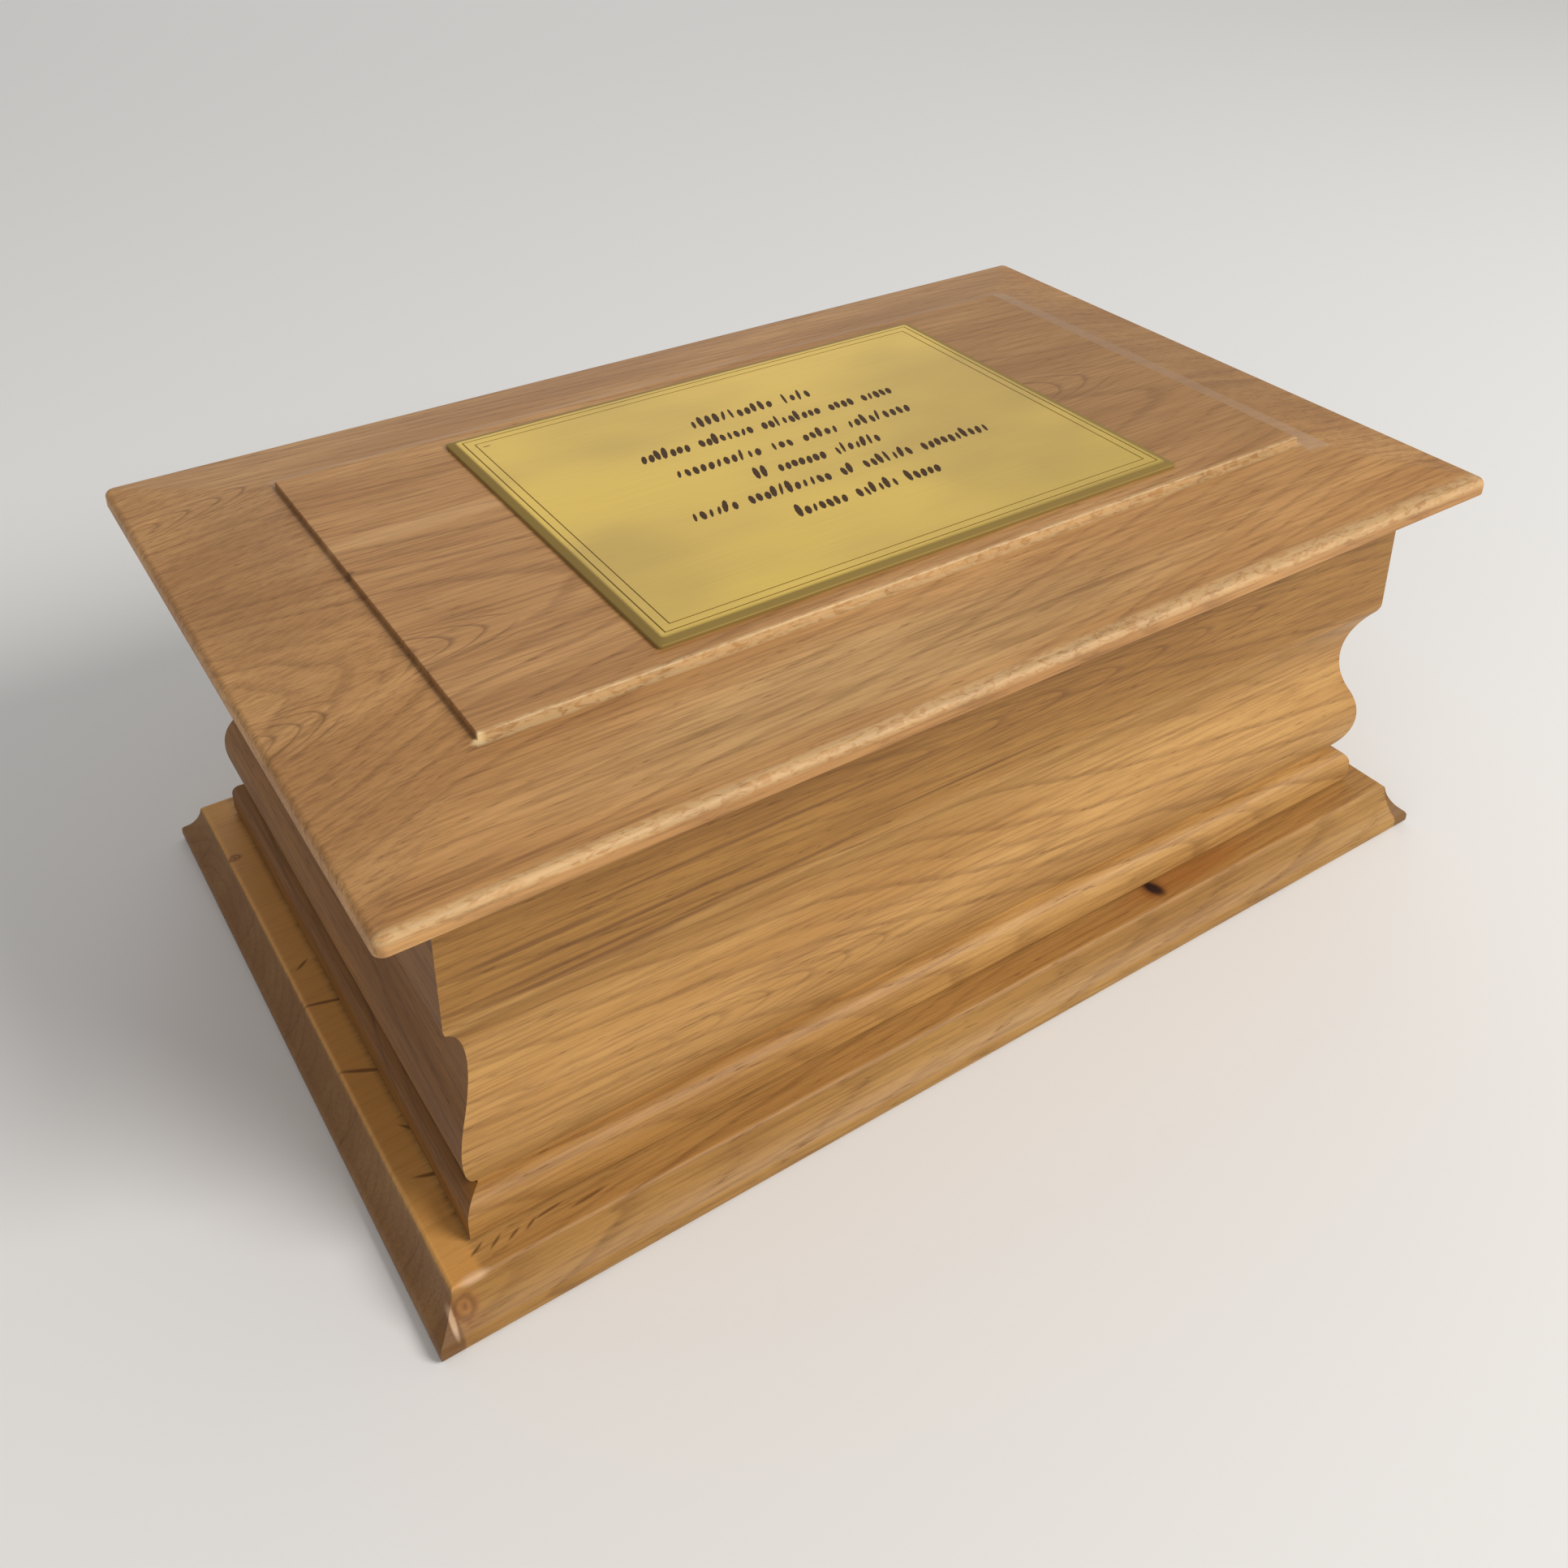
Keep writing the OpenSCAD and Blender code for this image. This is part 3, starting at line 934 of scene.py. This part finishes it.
# ---- Studio -----------------------------------------------------------------------------

FOCAL_LENGTH = 37.09
CAMERA_SHIFT = -0.2308
CAMERA_PLACE = (-0.2088, -0.3085, 0.3125)
CAMERA_TILT = math.radians(64.17)
CAMERA_TURN = math.radians(-33.46)


def studio_floor():
    """A wide pale floor under the urn."""
    bm = bmesh.new()
    bmesh.ops.create_circle(bm, cap_ends=True, segments=64, radius=8)
    mesh = bpy.data.meshes.new("studio_floor")
    bm.to_mesh(mesh)
    bm.free()
    material, _, shader = finish_material("pale_floor")
    shader.inputs["Base Color"].default_value = (0.8, 0.8, 0.8, 1)
    shader.inputs["Roughness"].default_value = 0.9
    shader.inputs["Specular IOR Level"].default_value = 0.1
    mesh.materials.append(material)
    new_object("studio_floor", mesh)


def soft_light(name, place, target, size, power, tint):
    """A large soft lamp aimed at a point."""
    lamp = bpy.data.lights.new(name, "AREA")
    lamp.shape = "DISK"
    lamp.size = size
    lamp.energy = power
    lamp.color = tint
    holder = new_object(name, lamp)
    holder.location = place
    aim = Vector(target) - Vector(place)
    holder.rotation_euler = aim.to_track_quat("-Z", "Y").to_euler()


def studio_sky(strength):
    """Even pale light from all round."""
    world = bpy.data.worlds.new("studio")
    bpy.context.scene.world = world
    world.use_nodes = True
    background = world.node_tree.nodes["Background"]
    background.inputs["Color"].default_value = (1, 0.99, 0.97, 1)
    background.inputs["Strength"].default_value = strength


def camera():
    """The camera, a little above the front left corner."""
    lens = bpy.data.cameras.new("camera")
    lens.lens = FOCAL_LENGTH
    lens.sensor_width = 36
    lens.shift_y = CAMERA_SHIFT
    lens.clip_start = 0.01
    holder = new_object("camera", lens)
    holder.location = CAMERA_PLACE
    holder.rotation_euler = (CAMERA_TILT, 0, CAMERA_TURN)
    bpy.context.scene.camera = holder


# ---- The urn ----------------------------------------------------------------------------

camera()
studio_floor()
studio_sky(0.4)
soft_light("key", (0.75, -1.35, 1.2), (0, 0, 0.06), 0.9, 30, (1, 0.97, 0.92))
soft_light("card", (0.7, 1.7, 1.05), (0, 0, 0.1), 2.2, 6, (1, 0.99, 0.97))
soft_light("fill", (-1.5, -0.7, 0.7), (0, 0, 0.05), 1.2, 4, (1, 0.97, 0.93))

front_oak = oak("front_side_oak", 0, (30, -120, 10), HONEY, streaks=0.36, extra=front_marks)
side_board("front_side", 0, front_oak)
side_board("right_side", QUARTER, oak("right_side_oak", -QUARTER, (-40, 30, -30), HONEY))
side_board("back_side", 2 * QUARTER, oak("back_side_oak", 0, (-60, 130, 40), HONEY))
# Painted shade: the left side board gets darker tones
side_board("left_side", -QUARTER, oak("left_side_oak", -QUARTER, (20, 60, 150), SHADED_SIDE_TONES))
base_board(oak("base_oak", 0, (20, 60, -40), HONEY, extra=base_marks))
lid(oak("lid_oak", 0, (-180, -20, 92), ROSY, extra=lid_marks))
brass_plate(engraved_brass(), engraving_enamel())

bpy.context.scene.view_settings.view_transform = "Standard"
